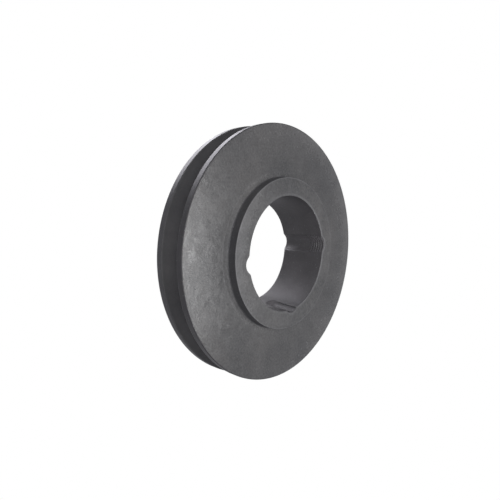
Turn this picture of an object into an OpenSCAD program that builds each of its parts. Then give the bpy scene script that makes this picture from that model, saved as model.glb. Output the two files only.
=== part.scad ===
// Single-groove V-belt pulley, section SPA, datum diameter 150 mm, bored for a taper bush.
// One iron casting, turned all over: a solid disc with a belt groove round it and a hub boss on each side.
// The wheel's axis is +Y, the large end of the bore faces -Y, and the origin is on the axis at mid-width.

/* [Rim and groove] */
// Datum (pitch) diameter, where the belt's cords run
datum_d = 150; // [132:1:200]
// Width of the rim over both side faces
rim_w = 21; // [19:0.5:24]
// Width of the groove at the datum diameter
datum_w = 11; // [10.5:0.1:11.5]
// Height of the rim above the datum diameter
above_datum = 2.75; // [2.5:0.05:3.5]
// Depth of the groove below the datum diameter
below_datum = 11.25; // [11:0.25:13]
// Included angle of the groove
groove_angle = 38; // [34:4:38]
// Radius that breaks the edges of the groove's mouth
mouth_r = 0.4; // [0.2:0.1:0.6]
// Radius in the corners of the groove's root
root_r = 0.6; // [0.3:0.1:0.8]
// Chamfer on the outer edges of the rim
rim_chamfer = 0.4; // [0.2:0.1:1]

/* [Hub] */
// Diameter of the hub bosses
hub_d = 92; // [86:1:100]
// Length of the hub over both bosses
hub_l = 32; // [30:1:40]
// Fillet where a boss meets the disc
hub_fillet = 0.6; // [0.3:0.1:1.5]
// Chamfer on the outer edge of each boss
hub_chamfer = 0.3; // [0.2:0.1:1]

/* [Taper bore] */
// Diameter of the bore at its large end
bore_d = 70; // [66:0.5:72]
// Included angle of the bore
taper_angle = 8; // [6:0.5:8]
// Chamfer at the large end of the bore
bore_chamfer = 0.2; // [0.2:0.05:1.2]
// Chamfer at the small end of the bore
small_end_chamfer = 2.3; // [0.5:0.1:3.2]

/* [Screw notches] */
// Distance of the clamping screws' centres from the axis
screw_r = 32.1; // [31.5:0.1:33]
// Outside diameter of the clamping screws' thread
thread_d = 11.1; // [10:0.1:12]
// Pitch of the clamping screws' thread
thread_pitch = 1.8; // [1.5:0.1:2]
// Length of thread in each clamping notch, from the large end
thread_l = 14; // [10:1:32]
// Distance of the jacking notch's centre from the axis, at the large end
jack_r = 31.5; // [30.8:0.1:32]
// Length of the jacking notch at its full depth, from the large end
jack_l = 15.5; // [8:0.5:16]
// Length over which the jacking notch then runs out
jack_run = 5.5; // [5:0.5:10]
// Angle of the first clamping notch, anticlockwise from +X seen from the large end
notch_turn = 5.5; // [0:0.5:45]
// Angle from the first clamping notch to the jacking notch
jack_turn = 270; // [260:1:280]

/* [Hidden] */
$fn = 180;
CAST_IRON = [0.36, 0.36, 0.38];

outer_r = datum_d / 2 + above_datum;
half_w = rim_w / 2;
half_l = hub_l / 2;
hub_r = hub_d / 2;
groove_d = above_datum + below_datum;
half_angle = groove_angle / 2;
mouth_w = datum_w + 2 * above_datum * tan(half_angle);
root_w = datum_w - 2 * below_datum * tan(half_angle);
bore_r = bore_d / 2;
// What is left standing inside the bore's outline until the bore is cut
bore_stock = 8;
thread_r = thread_d / 2;
// A 55 degree thread is 0.64 pitches deep, with a sixth of its pitch flat at crest and root
thread_crest_r = thread_r - 0.64 * thread_pitch;
thread_flat = thread_pitch / 12;
thread_turns = floor(thread_l / thread_pitch);

// How far a cutter runs past the face it cuts
past = 1;

// The points of a round corner: centre, radius, first and last angle
function arc(centre, r, from, to, steps = 6) = [
    for (i = [0:steps])
        let (angle = from + (to - from) * i / steps)
            centre + r * [cos(angle), sin(angle)]
];

// One half of the groove's outline, from its mouth to its root, on the +y side of the groove's middle.
// The mouth's edge is rounded between the rim's surface and the flank, and the root's corner likewise.
mouth_inset = mouth_r * tan((90 - half_angle) / 2);
mouth_centre = [outer_r - mouth_r, mouth_w / 2 + mouth_inset];
root_inset = root_r * tan((90 - half_angle) / 2);
root_centre = [outer_r - groove_d + root_r, root_w / 2 - root_inset];
groove_half = concat(
    arc(mouth_centre, mouth_r, 0, half_angle - 90),
    arc(root_centre, root_r, 90 + half_angle, 180)
);

// The wheel's outline on one side of its middle, from the bore outwards
function side_outline() = concat(
    [[bore_r - bore_stock, half_l], [hub_r - hub_chamfer, half_l], [hub_r, half_l - hub_chamfer]],
    arc([hub_r + hub_fillet, half_w + hub_fillet], hub_fillet, 180, 270),
    [[outer_r - rim_chamfer, half_w], [outer_r, half_w - rim_chamfer]]
);

function mirrored(points) = [for (i = [len(points) - 1:-1:0]) [points[i][0], -points[i][1]]];

// A solid of revolution about the wheel's axis
module turned(outline) {
    rotate([-90, 0, 0]) rotate_extrude() polygon(outline);
}

// The solid wheel with its groove and bosses
module blank() {
    turned(concat(side_outline(), groove_half, mirrored(groove_half), mirrored(side_outline())));
}

// Radius of the bore at a place along the axis
function wall_r(y) = bore_r - (y + half_l) * tan(taper_angle / 2);

// What the boring tool takes out: the cone, and the chamfer at each end
module taper_bore() {
    front_y = bore_chamfer - half_l;
    back_y = half_l - small_end_chamfer;
    turned([
        [0, -half_l - past],
        [wall_r(front_y) + bore_chamfer + past, -half_l - past],
        [wall_r(front_y), front_y],
        [wall_r(back_y), back_y],
        [wall_r(back_y) + small_end_chamfer + past, half_l + past],
        [0, half_l + past]
    ]);
}

// Puts a child that lies along +Z at a notch's place, starting at the large end of the bore
module at_notch(turn, centre_r) {
    rotate([0, -notch_turn - turn, 0])
        translate([centre_r, -half_l, 0])
            rotate([-90, 0, 0]) children();
}

// The 45 degree countersink that breaks a notch's edge at the large end
module notch_mouth() {
    mouth_l = thread_r + bore_chamfer + past;
    translate([0, 0, -past]) cylinder(h = mouth_l, r1 = mouth_l, r2 = 0);
}

// A hole right through the hub: a ring for each turn of its thread, then drilled clear of the thread
module tapped_hole() {
    rotate_extrude() polygon([
        [0, -thread_pitch],
        for (turn = [-1:thread_turns - 1]) each [
            [thread_crest_r, turn * thread_pitch + thread_flat],
            [thread_r, (turn + 0.5) * thread_pitch - thread_flat],
            [thread_r, (turn + 0.5) * thread_pitch + thread_flat],
            [thread_crest_r, (turn + 1) * thread_pitch - thread_flat]
        ],
        [thread_crest_r, thread_turns * thread_pitch + thread_flat],
        [thread_r, (thread_turns + 0.5) * thread_pitch - thread_flat],
        [thread_r, hub_l + past],
        [0, hub_l + past]
    ]);
}

// A plain notch that follows the slope of the bore and runs out short of the small end
module jacking_hole() {
    rotate([0, -taper_angle / 2, 0])
        rotate_extrude() polygon([
            [0, -past],
            [thread_r, -past],
            for (point = arc([0, 0], thread_r, 0, 90, 9)) [point[0], jack_l + point[1] * jack_run / thread_r]
        ]);
}

module pulley_body() {
    color(CAST_IRON) difference() {
        blank();
        taper_bore();
        for (turn = [0, 180]) at_notch(turn, screw_r) tapped_hole();
        for (turn = [0, 180]) at_notch(turn, screw_r) notch_mouth();
        at_notch(jack_turn, jack_r) jacking_hole();
        at_notch(jack_turn, jack_r) notch_mouth();
    }
}

pulley_body();
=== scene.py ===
"""A single-groove V-belt pulley of phosphated cast iron, bored for a taper bush, on a white studio floor.

The pulley's visible shape is one closed mesh: rings of vertices about the wheel's axis, one ring for each
point of its cross-section. The rings inside the bore follow the half-round screw notches and their thread.
Sizes are in metres, and the axis is Y, with the large end of the bore towards -Y.
"""

import math

import bpy
import numpy as np
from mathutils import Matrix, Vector


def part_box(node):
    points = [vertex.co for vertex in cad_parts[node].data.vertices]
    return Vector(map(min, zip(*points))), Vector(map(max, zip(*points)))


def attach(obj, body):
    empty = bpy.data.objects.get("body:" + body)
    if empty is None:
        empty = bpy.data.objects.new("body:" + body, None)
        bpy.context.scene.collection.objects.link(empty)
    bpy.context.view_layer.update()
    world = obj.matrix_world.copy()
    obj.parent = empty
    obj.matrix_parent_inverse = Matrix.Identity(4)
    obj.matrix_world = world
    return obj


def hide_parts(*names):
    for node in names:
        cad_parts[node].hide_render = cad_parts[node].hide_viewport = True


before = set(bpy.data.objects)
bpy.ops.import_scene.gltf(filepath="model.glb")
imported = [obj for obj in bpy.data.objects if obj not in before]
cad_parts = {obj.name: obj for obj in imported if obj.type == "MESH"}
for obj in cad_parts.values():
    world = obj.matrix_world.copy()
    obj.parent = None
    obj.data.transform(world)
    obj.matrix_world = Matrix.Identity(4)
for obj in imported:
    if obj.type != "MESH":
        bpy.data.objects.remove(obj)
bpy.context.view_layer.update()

MM = 0.001
NODE = "pulley_body"

# ---------------------------------------------------------------- sizes, in millimetres
low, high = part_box(NODE)
OUTER_R = high.z / MM  # radius over the lands
HALF_L = high.y / MM  # half the hub's length
HALF_W = 10.5  # half the rim's width
HUB_R = 46.0
RIM_EDGE, HUB_EDGE = 0.4, 0.3  # chamfers on the outer edges
FILLET = 0.6  # in the corner between hub and disc
DATUM_R = 75.0
DATUM_HALF_W = 5.5
GROOVE_DEPTH = 14.0
FLANK = math.radians(19)  # half the groove's angle
MOUTH_R = 0.4
ROOT_R = 0.6

BORE_R = 35.0  # at the large end
TAPER = math.tan(math.radians(4))
MOUTH_CHAMFER = 0.1
BACK_CHAMFER = 2.3  # at the small end
SCREW_R = 5.55
SCREW_RING = 32.1  # from the wheel's axis to a clamping screw's
THREAD_PITCH = 1.8
THREAD_DEPTH = 0.55
THREAD_FLAT = 0.12  # of half a pitch, at its crest and at its root
THREAD_L = 14.0
THREAD_FADE = 7.0  # over which the thread runs out
JACK_RING = 31.5  # from the wheel's axis to the plain notch's, at the large end
JACK_L, JACK_RUN = 15.5, 5.5  # its length at full depth, and then to its end
FIRST_NOTCH = math.radians(5.5)
JACK_NOTCH = math.radians(270)  # on from the first
TAPPED_LIP, PLAIN_LIP = 0.9, 0.35  # how softly a notch's lips are broken
NOTCH_REACH = math.radians(14)  # how far to each side of its middle a notch can change the bore

NOTCHES = (  # angle about the wheel's axis, and whether the notch is tapped right through
    (FIRST_NOTCH, True),
    (FIRST_NOTCH + math.pi, True),
    (FIRST_NOTCH + JACK_NOTCH, False),
)


# ---------------------------------------------------------------- rings of vertices, in millimetres or shares
SUPPORT = 0.35  # from a worn edge to the ring where its wear has gone
CORNER_STEPS = 4
FLANK_RINGS = (0.04, 0.35, 0.7, 0.98)  # down a flank of the groove
BACK_CHAMFER_RINGS = (0.04, 0.35, 0.65, 0.96)  # down the chamfer at the bore's small end
CLEAR_RINGS = 30  # in the bore behind the thread
RINGS_PER_PITCH = 8
MOUTH_SUPPORT = 0.05  # between the bore's last two rings, which keep its mouth crisp

# ---------------------------------------------------------------- finish, wear and painted light and shade, laid down ring by ring
# Wear runs from 0 to 1, and some painted highlights are carried in it. The painted shading is 0 for the plain
# finish, above 0 for painted light (lighter and rougher), below 0 for painted shade (darker).
DISC_RINGS = (46.9, 48, 49.5, 50.8, 51.3, 52.5, 55, 60, 66, 72)  # radii on the disc's face
FOOT_PAINTED_SHADING = (1.9, 1.5, 1.0, 0.0, -0.2, -0.25, -0.2, -0.05, 0, 0)  # at each of those radii, beside the hub on one side: painted light where the hub's shadow falls, then painted shade a little further out
RIM_PAINTED_HIGHLIGHT = 1.0  # painted highlight at the disc's outer edge, on one side
RIM_HIGHLIGHT_START, RIM_HIGHLIGHT_END = 64, 77  # the radii over which it comes in
HUB_RIM_PAINTED_HIGHLIGHT = 1.5  # painted highlight along the front boss's outer edge, on one side
HUB_LIGHT_ANGLE, RIM_LIGHT_ANGLE = math.radians(172), math.radians(15)  # where round the wheel each painted light is strongest
HUB_EDGE_WEAR = (0.8, 0.7, 0.4, 0.2, 0.1)  # round a boss's outer edge, from its face
MOUTH_PAINTED_HIGHLIGHT = ((0.0, 0.2), (0.3, 1.0), (1.1, 0.9), (1.9, 0.0))  # distance out from the bore's mouth, and wear, which here is a painted highlight
MOUTH_HIGHLIGHT_MEAN, MOUTH_HIGHLIGHT_SWING = 0.55, 0.45  # the painted highlight round the bore's mouth is strongest on one side
# the rear land's wear is a painted highlight, lightening the whole rear land
GROOVE_MOUTH_WEAR, REAR_LAND_PAINTED_HIGHLIGHT, BACK_EDGE_WEAR = 0.4, 0.35, 0.7
LIP_WEAR_AND_HIGHLIGHT, BACK_LIP_WEAR = 0.35, 0.5  # on a tapped notch's lips: in the bore, where it is edge wear and also a painted highlight along the lip, and on the chamfer at its back
LIP_WEAR_SPAN = 0.8  # how far from the lip that wear reaches
TAPPED_PAINTED_LIGHT, TAPPED_SIDE_PAINTED_LIGHT, TAPPED_TOP_PAINTED_LIGHT = 0.1, 0.9, 0.9  # painted light inside a tapped notch, against its shade: at the bottom, and more on sides and top
TAPPED_LIGHT_FADE = 1.2  # over which that goes at the lips
JACK_END_PAINTED_LIGHT, JACK_END_FADE = 2.6, 2.0  # painted light where the plain notch runs out, and the length it comes in over
JACK_SHADE_LINE, JACK_SHADE_SPAN = 0.5, 0.5  # the painted shade line inside the plain notch's lips: its depth and spread
JACK_SHADE_PAST, JACK_SHADE_FADE = 1.0, 4.0  # where the line ends, past JACK_L, and the length it goes over


# ---------------------------------------------------------------- bore
def soft_max(a, b, k):
    """The larger of two heights, with their crossing rounded off over about k."""
    return (a + b + np.sqrt((a - b) ** 2 + k * k)) / 2


def ring_angles():
    """The angle of each column of vertices: fine at the notches' lips, coarser in between."""
    lip_low, lip_high = math.radians(5.5), math.radians(11.2)  # a notch's lips lie between these
    fine, middle, coarse = (math.radians(step) for step in (0.16, 0.55, 1.6))
    out = []
    for i, (centre, _) in enumerate(NOTCHES):
        for start, end, step in (
            (-lip_high, -lip_low, fine),
            (-lip_low, lip_low, middle),
            (lip_low, lip_high, fine),
        ):
            n = max(1, round((end - start) / step))
            out += [centre + start + (end - start) * k / n for k in range(n)]
        following = NOTCHES[(i + 1) % len(NOTCHES)][0] + (0 if i < len(NOTCHES) - 1 else 2 * math.pi)
        start, end = centre + lip_high, following - lip_high
        n = round((end - start) / coarse)
        out += [start + (end - start) * k / n for k in range(n)]
    return np.array(out)


ANGLES = ring_angles()


def wrapped(angle):
    return (angle + math.pi) % (2 * math.pi) - math.pi


def hole_radius(around, depth, tapped):
    """A notch's radius at angles about its own centre, at a depth from the bore's large end."""
    if not tapped:
        over = max(0.0, depth - JACK_L) * SCREW_R / JACK_RUN
        return np.full_like(around, math.sqrt(max(0.0, SCREW_R**2 - over**2)))
    turn = depth / THREAD_PITCH - around / (2 * math.pi)
    crest = np.abs(2 * (turn % 1.0) - 1)
    flank = np.clip((crest - THREAD_FLAT) / (1 - 2 * THREAD_FLAT), 0, 1)
    fade = np.clip((THREAD_L - depth) / THREAD_FADE, 0, 1)
    return SCREW_R - fade * THREAD_DEPTH * (0.5 + 0.5 * np.cos(math.pi * flank))


def tapped_pale(gap, above):
    """Painted light inside a tapped notch, to lift its shade: more on its sides, above all the upper one,
    than at its bottom.
    """
    across = TAPPED_PAINTED_LIGHT + TAPPED_SIDE_PAINTED_LIGHT * np.abs(above) + TAPPED_TOP_PAINTED_LIGHT * np.clip(above, 0, 1)
    return across * np.clip(0.5 + gap / TAPPED_LIGHT_FADE, 0, 1)


def plain_pale(gap, depth):
    """Painted light where the plain notch runs out, and painted shade in a line inside its lips."""
    end = JACK_END_PAINTED_LIGHT * np.clip((depth - JACK_L) / JACK_END_FADE, 0, 1) * (gap > 0)
    line = np.exp(-(((gap - JACK_SHADE_LINE) / JACK_SHADE_SPAN) ** 2))
    return end - line * np.clip((JACK_L + JACK_SHADE_PAST - depth) / JACK_SHADE_FADE, 0, 1)


def bore_ring(y, wall, extra=0.0):
    """The bore's radius at each column, its nearness to a tapped notch's lip (0 to 1), and its painted light
    and shade.
    """
    depth = y + HALF_L
    radius = np.full_like(ANGLES, wall + extra)
    lip, pale = np.zeros_like(ANGLES), np.zeros_like(ANGLES)
    for centre, tapped in NOTCHES:
        off = wrapped(ANGLES - centre)
        near = np.abs(off) < NOTCH_REACH
        ring = SCREW_RING if tapped else JACK_RING - depth * TAPER
        reach = np.full_like(off[near], BORE_R)
        for _ in range(6):  # the thread's depth depends on the reach that it gives, so it takes some rounds
            around = np.arctan2(reach * np.sin(off[near]), reach * np.cos(off[near]) - ring)
            hole = hole_radius(around, depth, tapped) + extra
            side = ring * np.sin(off[near])
            inside = hole * hole - side * side
            reach = ring * np.cos(off[near]) + np.sign(inside) * np.sqrt(np.abs(inside))
        gap = reach - (wall + extra)
        above = (reach * np.sin(ANGLES[near]) - ring * math.sin(centre)) / SCREW_R
        radius[near] = soft_max(reach, wall + extra, TAPPED_LIP if tapped else PLAIN_LIP)
        lip[near] = tapped * np.exp(-((gap / LIP_WEAR_SPAN) ** 2))
        pale[near] = tapped_pale(gap, above) if tapped else plain_pale(gap, depth)
    return radius, lip, pale


# ---------------------------------------------------------------- cross-section
def arc(centre, r, start, end):
    """Points round a corner of the cross-section: (radius, y), with angles in degrees."""
    angles = np.radians(np.linspace(start, end, CORNER_STEPS + 1))
    return [(centre[0] + r * math.cos(a), centre[1] + r * math.sin(a)) for a in angles]


class Section:
    """The wheel's cross-section, ring by ring, from the bore's large end round to the bore again."""

    def __init__(self):
        self.rings, self.wear, self.pale, self.kinds = [], [], [], []

    def add(self, radius, y, kind, wear=0.0, pale=0.0):
        """kind names the surface between this ring and the next."""
        flat = np.ones_like(ANGLES)
        self.rings.append((radius * flat, y * flat))
        self.wear.append(wear * flat)
        self.pale.append(pale * flat)
        self.kinds.append(kind)


def pale_at(radius, y, kind):
    """The front's painted light and shade: a painted highlight at the boss's edge, painted light and shade
    beside the boss on one side, and a painted highlight near the rim on the other.
    """
    if kind not in ("face", "edge") or y > 0:
        return 0.0
    hub_lit_side = 0.5 + 0.5 * np.cos(ANGLES - HUB_LIGHT_ANGLE)
    if radius < HUB_R:
        return HUB_RIM_PAINTED_HIGHLIGHT * hub_lit_side**8
    rim_lit_side = 0.5 + 0.5 * np.cos(ANGLES - RIM_LIGHT_ANGLE)
    rim_highlight = np.interp(radius, (RIM_HIGHLIGHT_START, RIM_HIGHLIGHT_END), (0, RIM_PAINTED_HIGHLIGHT))
    return np.interp(radius, DISC_RINGS, FOOT_PAINTED_SHADING) * hub_lit_side**4 + rim_highlight * rim_lit_side**2


def half_outline():
    """(radius, y, kind, wear) from the hub face's outer edge to the middle of the groove, on the +y side."""
    out = [(HUB_R - HUB_EDGE - 2 * SUPPORT, HALF_L, "face", 0.0)]
    corner = arc((HUB_R - HUB_EDGE, HALF_L - HUB_EDGE), HUB_EDGE, 90, 0)
    out += [(r, y, "edge", wear) for (r, y), wear in zip(corner, HUB_EDGE_WEAR)]
    out[-1] = (*corner[-1], "side", HUB_EDGE_WEAR[-1])
    out.append((HUB_R, HALF_L - HUB_EDGE - SUPPORT, "side", 0.0))
    root = arc((HUB_R + FILLET, HALF_W + FILLET), FILLET, 180, 270)
    out += [(r, y, "side", 0.0) for r, y in root]
    out[-1] = (*root[-1], "face", 0.0)
    out += [(r, HALF_W, "face", 0.0) for r in (*DISC_RINGS, OUTER_R - RIM_EDGE - SUPPORT)]
    corner = arc((OUTER_R - RIM_EDGE, HALF_W - RIM_EDGE), RIM_EDGE, 90, 0)
    out += [(r, y, "land", 0.0) for r, y in corner]
    out.append((OUTER_R, HALF_W - RIM_EDGE - SUPPORT, "land", 0.0))

    inset = math.tan((math.pi / 2 - FLANK) / 2)
    mouth_half = DATUM_HALF_W + (OUTER_R - DATUM_R) * math.tan(FLANK)
    mouth_y = mouth_half + MOUTH_R * inset
    out.append((OUTER_R, mouth_y + SUPPORT, "land", 0.0))
    mouth = arc((OUTER_R - MOUTH_R, mouth_y), MOUTH_R, 0, math.degrees(FLANK) - 90)
    out += [(r, y, "land", GROOVE_MOUTH_WEAR) for r, y in mouth]
    out[-1] = (*mouth[-1], "groove", GROOVE_MOUTH_WEAR)
    root_half = mouth_half - GROOVE_DEPTH * math.tan(FLANK)
    root_y = root_half - ROOT_R * inset
    for t in FLANK_RINGS:
        depth = MOUTH_R + (GROOVE_DEPTH - MOUTH_R - ROOT_R) * t
        out.append((OUTER_R - depth, mouth_half - depth * math.tan(FLANK), "groove", 0.0))
    root = arc((OUTER_R - GROOVE_DEPTH + ROOT_R, root_y), ROOT_R, 90 + math.degrees(FLANK), 180)
    out += [(r, y, "groove", 0.0) for r, y in root]
    return out


def wheel_section():
    section = Section()
    mouth = bore_ring(-HALF_L, BORE_R, MOUTH_CHAMFER)[0]
    # painted highlight round the bore's mouth, carried as wear, strongest on one side
    mouth_lit = MOUTH_HIGHLIGHT_MEAN + MOUTH_HIGHLIGHT_SWING * np.cos(ANGLES - FIRST_NOTCH)
    for outside, wear in MOUTH_PAINTED_HIGHLIGHT:
        section.add(mouth + outside, -HALF_L, "face", wear * mouth_lit)

    half = half_outline()
    front = [(r, -y, kind, wear) for r, y, kind, wear in half]
    before = ["face"] + [kind for _, _, kind, _ in half]  # what follows each ring on the way back
    back = [(r, y, kind, wear) for (r, y, _, wear), kind in zip(half, before)][::-1]
    for r, y, kind, wear in front + back:
        if kind == "land" and y > 0:
            # the rear land is painted lighter through the wear attribute: a painted highlight
            wear = REAR_LAND_PAINTED_HIGHLIGHT
            if r < OUTER_R and y < HALF_W - 1:  # on this side the groove's mouth has the groove's finish
                kind = "groove"
        section.add(r, y, kind, wear, pale_at(r, y, kind))

    small = BORE_R - (2 * HALF_L - BACK_CHAMFER) * TAPER
    back_edge = bore_ring(HALF_L, small + BACK_CHAMFER)[0]
    section.add(back_edge + SUPPORT, HALF_L, "face")
    section.add(back_edge, HALF_L, "chamfer", BACK_EDGE_WEAR)
    for t in BACK_CHAMFER_RINGS:
        radius, lip, pale = bore_ring(HALF_L - BACK_CHAMFER * t, small + BACK_CHAMFER * (1 - t))
        section.add(radius, HALF_L - BACK_CHAMFER * t, "chamfer", BACK_LIP_WEAR * lip, pale)

    top, bottom = HALF_L - BACK_CHAMFER, -HALF_L + MOUTH_CHAMFER
    threaded = -HALF_L + THREAD_L
    places = [top - (top - threaded) * i / CLEAR_RINGS for i in range(CLEAR_RINGS)]
    steps = round((threaded - bottom) / (THREAD_PITCH / RINGS_PER_PITCH))
    places += [threaded - (threaded - bottom) * i / steps for i in range(steps)]
    places += [bottom + MOUTH_SUPPORT, bottom]
    for y in places:
        radius, lip, pale = bore_ring(y, BORE_R - (y + HALF_L) * TAPER)
        section.add(radius, y, "bore", LIP_WEAR_AND_HIGHLIGHT * lip, pale)
    section.kinds[-1] = "chamfer"
    return section


MATERIAL_OF = {"face": 0, "edge": 0, "side": 1, "land": 2, "groove": 3, "bore": 4, "chamfer": 4}


def build_wheel():
    section = wheel_section()
    radius = np.array([r for r, _ in section.rings])
    y = np.array([y for _, y in section.rings])
    rows, cols = radius.shape
    points = np.stack([radius * np.cos(ANGLES), y, radius * np.sin(ANGLES)], axis=-1) * MM
    i, j = np.meshgrid(np.arange(rows), np.arange(cols), indexing="ij")
    i2, j2 = (i + 1) % rows, (j + 1) % cols
    quads = np.stack([i * cols + j, i * cols + j2, i2 * cols + j2, i2 * cols + j], axis=-1).reshape(-1, 4)

    mesh = bpy.data.meshes.new("wheel")
    mesh.from_pydata(points.reshape(-1, 3).tolist(), [], quads.tolist())
    kinds = np.repeat([MATERIAL_OF[k] for k in section.kinds], cols)
    mesh.polygons.foreach_set("material_index", kinds.astype(np.int32))
    mesh.polygons.foreach_set("use_smooth", [True] * len(mesh.polygons))
    for name, values in (("wear", section.wear), ("pale", section.pale)):
        layer = mesh.attributes.new(name, "FLOAT", "POINT")
        layer.data.foreach_set("value", np.array(values).reshape(-1).astype(np.float32))
    mesh.validate()
    obj = bpy.data.objects.new("pulley", mesh)
    bpy.context.scene.collection.objects.link(obj)
    return obj


# ---------------------------------------------------------------- materials
class Graph:
    """A short way to write a node tree: each call adds one node and returns its output."""

    def __init__(self, name):
        self.material = bpy.data.materials.new(name)
        self.material.use_nodes = True
        self.tree = self.material.node_tree
        self.shader = self.tree.nodes["Principled BSDF"]

    def node(self, kind, output=0, inputs=None, **settings):
        made = self.tree.nodes.new(kind)
        for key, value in settings.items():
            setattr(made, key, value)
        for key, value in (inputs or {}).items():
            self.plug(made.inputs[key], value)
        return made.outputs[output]

    def plug(self, socket, value):
        if isinstance(value, bpy.types.NodeSocket):
            self.tree.links.new(value, socket)
        else:
            socket.default_value = value

    def math(self, operation, a, b=0.0, c=0.0):
        return self.node("ShaderNodeMath", operation=operation, inputs={0: a, 1: b, 2: c})

    def noise(self, place, scale, detail=3.0, roughness=0.55):
        inputs = {"Vector": place, "Scale": scale, "Detail": detail, "Roughness": roughness}
        return self.node("ShaderNodeTexNoise", inputs=inputs)

    def span(self, value, low, high, to_low=0.0, to_high=1.0):
        """Rescales low..high to to_low..to_high, held at the ends."""
        inputs = {0: value, 1: low, 2: high, 3: to_low, 4: to_high}
        return self.node("ShaderNodeMapRange", inputs=inputs)

    def mix(self, factor, a, b):
        inputs = {0: factor, 6: a, 7: b}
        return self.node("ShaderNodeMix", output=2, data_type="RGBA", inputs=inputs)


SPECK_COLOUR = (0.36, 0.36, 0.38, 1)
WORN_AND_LIT_COLOUR = (0.24, 0.24, 0.25, 1)
HIGHLIGHT_PATCH_COLOUR = (0.21, 0.21, 0.21, 1)
HIGHLIGHT_PATCH = (-0.0705, -HALF_W * MM, 0.011)  # the middle of a painted highlight patch on the disc's face, where the key lamp's highlight falls, in metres
HIGHLIGHT_PATCH_W = 0.015  # its radius
HIGHLIGHT_PATCH_ROUGH = -0.06  # added to the roughness there
PAINTED_SHADING_TONE, PAINTED_SHADING_ROUGH = 0.4, 0.15  # what a painted shading of 1 adds to the tone, as a share, and to the roughness
LEAST_TONE, LEAST_ROUGH = 0.75, 0.12


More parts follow.
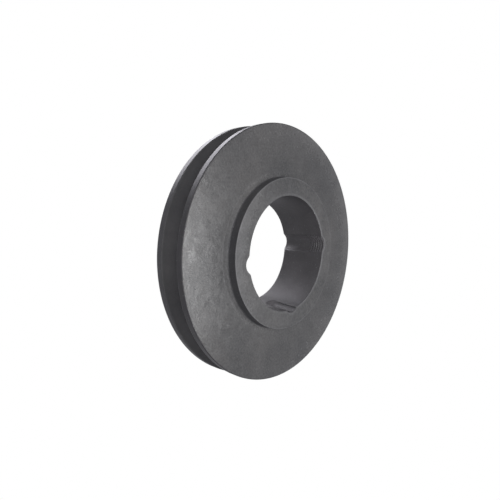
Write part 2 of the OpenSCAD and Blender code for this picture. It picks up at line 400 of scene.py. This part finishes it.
def iron(name, colour, tint, rough, cloud=0.25, grit=0.2, speck=0.5, turning=0.0, relief=1.0, metallic=0.0,
         along="radius", patchy=0.08, root_painted_light=0.0, ripple=0.0, highlight_patched=False):
    """Phosphated iron: cloudy and mottled, with light grey specks, fine grain and faint turning marks.

    It drifts between colour and tint. cloud and grit are the strength of the coarse and the fine mottling,
    patchy is how much the gloss changes, ripple is how wavy the surface is, turning is how deep the turning
    marks are, and relief scales the whole bump. The marks follow one another along the radius or the axis.
    root_painted_light is painted light: how much lighter the groove's root is than its mouth, against the
    shade in the root.
    """
    g = Graph(name)
    place = g.node("ShaderNodeTexCoord", output="Object")
    x, y, z = (g.node("ShaderNodeSeparateXYZ", output=i, inputs={0: place}) for i in range(3))
    # Noise at several sizes, about 33 mm down to 0.7 mm, each but the specks rescaled to run from -0.5 to 0.5
    patches = g.span(g.noise(place, 30.0, 3.0), 0.3, 0.7, -0.5, 0.5)
    clouds = g.span(g.noise(place, 110.0, 4.0, 0.6), 0.2, 0.8, -0.5, 0.5)
    mottle = g.span(g.noise(place, 850.0, 2.0, 0.6), 0.1, 0.9, -0.5, 0.5)
    sheen = g.span(g.noise(place, 250.0, 5.0, 0.75), 0.25, 0.75, -0.5, 0.5)
    waves = g.span(g.noise(place, 200.0, 3.0, 0.6), 0.2, 0.8, -0.5, 0.5)
    grain = g.span(g.noise(place, 1300.0, 2.0, 0.7), 0.1, 0.9, -0.5, 0.5)
    specks = g.span(g.noise(place, 1500.0, 1.0, 0.5), 0.69, 0.77)
    worn_and_lit = g.node("ShaderNodeAttribute", output="Fac", attribute_name="wear")

    tone = g.math("MULTIPLY_ADD", patches, cloud, 1.0)
    tone = g.math("MULTIPLY_ADD", clouds, cloud, tone)
    tone = g.math("MULTIPLY_ADD", mottle, grit, tone)
    # painted light and shade from the mesh: it lightens or darkens the tone where light or shade is painted
    # in
    pale = g.node("ShaderNodeAttribute", output="Fac", attribute_name="pale")
    tone = g.math("MAXIMUM", tone, LEAST_TONE)
    tone = g.math("MULTIPLY", tone, g.math("MULTIPLY_ADD", pale, PAINTED_SHADING_TONE, 1.0))
    reach = g.math("SQRT", g.math("ADD", g.math("MULTIPLY", x, x), g.math("MULTIPLY", z, z)))
    root, land = (OUTER_R - GROOVE_DEPTH) * MM, OUTER_R * MM
    # painted light in the groove's root against its shade, and a little darker towards the mouth
    tone = g.math("MULTIPLY", tone, g.span(reach, root, land, 1 + root_painted_light, 1 - root_painted_light / 3))
    base = g.mix(g.math("ADD", patches, 0.5), (*colour, 1), (*tint, 1))
    base = g.node("ShaderNodeVectorMath", operation="SCALE", inputs={0: base, 3: tone})
    base = g.mix(g.math("MULTIPLY", specks, speck), base, SPECK_COLOUR)
    # the lighter colour of worn edges, which also carries the painted highlights given through the wear
    # attribute
    edge = g.math("MULTIPLY", g.math("POWER", worn_and_lit, 1.5), g.math("MULTIPLY_ADD", clouds, 0.3, 0.55))
    base = g.mix(edge, base, WORN_AND_LIT_COLOUR)
    # a streaky patch painted lighter where the key lamp's highlight falls: painted highlight, with a lower
    # roughness there
    if highlight_patched:
        ends = {0: place, 1: HIGHLIGHT_PATCH}
        away = g.node("ShaderNodeVectorMath", output="Value", operation="DISTANCE", inputs=ends)
        streaks = g.span(g.noise(place, 190.0, 3.0, 0.65), 0.47, 0.68)
        highlight_patch = g.math("MULTIPLY", streaks, g.span(away, HIGHLIGHT_PATCH_W, 0.25 * HIGHLIGHT_PATCH_W))
        base = g.mix(highlight_patch, base, HIGHLIGHT_PATCH_COLOUR)

    lines = {"W": reach if along == "radius" else y, "Scale": 2200.0, "Detail": 2.0}
    marks = g.node("ShaderNodeTexNoise", noise_dimensions="1D", inputs=lines)
    height = g.math("MULTIPLY_ADD", marks, turning, g.math("MULTIPLY", grain, 0.5))
    height = g.math("MULTIPLY_ADD", waves, ripple, height)
    bump = g.node("ShaderNodeBump", inputs={"Strength": 0.3, "Distance": 0.00004 * relief, "Height": height})
    spread = g.math("MULTIPLY_ADD", sheen, patchy, rough)
    spread = g.math("MULTIPLY_ADD", mottle, 0.4 * patchy, spread)
    if highlight_patched:
        spread = g.math("MULTIPLY_ADD", highlight_patch, HIGHLIGHT_PATCH_ROUGH, spread)
    spread = g.math("MULTIPLY_ADD", pale, PAINTED_SHADING_ROUGH, g.math("MAXIMUM", spread, LEAST_ROUGH))
    g.plug(g.shader.inputs["Base Color"], base)
    g.plug(g.shader.inputs["Roughness"], spread)
    g.plug(g.shader.inputs["Specular IOR Level"], g.math("MULTIPLY_ADD", sheen, 2 * patchy, 0.5))
    g.plug(g.shader.inputs["Normal"], bump)
    g.plug(g.shader.inputs["Metallic"], metallic)
    return g.material


wheel = build_wheel()
for made in (  # in the order that MATERIAL_OF gives
    iron("face", (0.106, 0.106, 0.108), (0.115, 0.112, 0.111), 0.22, cloud=0.28, grit=0.85, speck=0.1,
         turning=0.15, patchy=0.15, ripple=5.0, highlight_patched=True),
    # the side, land, groove and bore colours are darker than the face's, partly the iron's own tone and
    # partly painted shade
    iron("side", (0.069, 0.069, 0.074), (0.072, 0.07, 0.072), 0.45, turning=0.3, along="y"),
    iron("land", (0.055, 0.053, 0.058), (0.054, 0.053, 0.056), 0.36, relief=0.15, metallic=0.2, along="y"),
    iron("groove", (0.066, 0.065, 0.069), (0.071, 0.069, 0.072), 0.6, speck=0.1, turning=0.3, root_painted_light=1.4),
    iron("bore", (0.074, 0.072, 0.076), (0.082, 0.077, 0.081), 0.40, cloud=0.25, turning=0.3, along="y"),
):
    wheel.data.materials.append(made)
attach(wheel, "root")
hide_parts(NODE)


# ---------------------------------------------------------------- studio
def unlit_white(name):
    material = bpy.data.materials.new(name)
    material.use_nodes = True
    tree = material.node_tree
    tree.nodes.clear()
    glow = tree.nodes.new("ShaderNodeEmission")
    glow.inputs["Color"].default_value = (1, 1, 1, 1)
    glow.inputs["Strength"].default_value = 1.0
    end = tree.nodes.new("ShaderNodeOutputMaterial")
    tree.links.new(glow.outputs[0], end.inputs["Surface"])
    return material


def backdrop(name, corners, faces):
    """A white surface that only the camera sees, so it adds no light of its own."""
    mesh = bpy.data.meshes.new(name)
    mesh.from_pydata(corners, [], faces)
    mesh.materials.append(unlit_white(name))
    obj = bpy.data.objects.new(name, mesh)
    bpy.context.scene.collection.objects.link(obj)
    obj.visible_diffuse = obj.visible_glossy = obj.visible_transmission = obj.visible_shadow = False


ROOM = 2.0  # from the wheel's middle to each wall
square = [(-ROOM, -ROOM), (ROOM, -ROOM), (ROOM, ROOM), (-ROOM, ROOM)]
backdrop("floor", [(x, y, low.z) for x, y in square], [(0, 1, 2, 3)])
cube = [(x, y, z) for x in (-ROOM, ROOM) for y in (-ROOM, ROOM) for z in (-ROOM, ROOM)]
sides = [(0, 1, 3, 2), (4, 6, 7, 5), (0, 4, 5, 1), (2, 3, 7, 6), (0, 2, 6, 4), (1, 5, 7, 3)]
backdrop("surround", cube, sides)


def softbox(name, direction, distance, size, radiance, colour=(1, 1, 1), sheen_only=False):
    """A rectangular light that faces the wheel's middle, given by its brightness per unit area.

    One that is sheen_only shows in reflections and adds no diffuse light, so it casts no shadow by the hub.
    """
    light = bpy.data.lights.new(name, "AREA")
    light.shape = "RECTANGLE"
    light.size, light.size_y = size
    light.energy = radiance * math.pi * size[0] * size[1]
    light.color = colour
    obj = bpy.data.objects.new(name, light)
    bpy.context.scene.collection.objects.link(obj)
    towards = Vector(direction).normalized()
    obj.visible_diffuse = not sheen_only
    obj.location = towards * distance
    obj.rotation_euler = (-towards).to_track_quat("-Z", "Y").to_euler()


softbox("key", (0.545, -0.828, -0.12), 0.864, (0.04, 0.42), 15.4, sheen_only=True)
softbox("wing", (0.72, -0.68, -0.14), 0.9, (0.12, 0.35), 1.0, sheen_only=True)
softbox("side", (-0.69, -0.71, 0.10), 0.9, (0.30, 0.45), 1.6)
softbox("fill", (-0.36, -0.92, 0.12), 0.9, (1.0, 1.0), 1.40)
softbox("overhead", (0.12, 0.75, 0.66), 0.9, (0.7, 0.35), 4.1, (0.95, 0.93, 1.0))
softbox("rear_right", (0.76, 0.62, 0.2), 0.9, (0.35, 0.5), 1.0, (0.97, 0.96, 1.0))

world = bpy.data.worlds.new("studio")
bpy.context.scene.world = world
world.use_nodes = True
sky = world.node_tree.nodes["Background"]
sky.inputs["Color"].default_value = (0.95, 0.95, 1.0, 1)
sky.inputs["Strength"].default_value = 0.38

# ---------------------------------------------------------------- camera
FACE_CENTRE = Vector((0, -HALF_W * MM, 0))  # the middle of the disc's front face
CAM_UNIT = 77.25 * MM  # the radius that the camera's place is measured in
CAM_PLACE = Vector((-2.6911, -2.1809, 0.4170))
AZIMUTH, ELEVATION = math.radians(-45.467), math.radians(6.459)
cam_data = bpy.data.cameras.new("camera")
cam = bpy.data.objects.new("camera", cam_data)
bpy.context.scene.collection.objects.link(cam)
cam_data.sensor_width = 36
cam_data.lens = 31.383
cam_data.shift_x, cam_data.shift_y = 0.0192, -0.0004
cam_data.clip_start = 0.01
cam.location = FACE_CENTRE + CAM_PLACE * CAM_UNIT
forward = Vector((
    -math.sin(AZIMUTH) * math.cos(ELEVATION),
    math.cos(AZIMUTH) * math.cos(ELEVATION),
    -math.sin(ELEVATION),
))
cam.rotation_euler = forward.to_track_quat("-Z", "Y").to_euler()
bpy.context.scene.camera = cam
bpy.context.scene.view_settings.view_transform = "Standard"
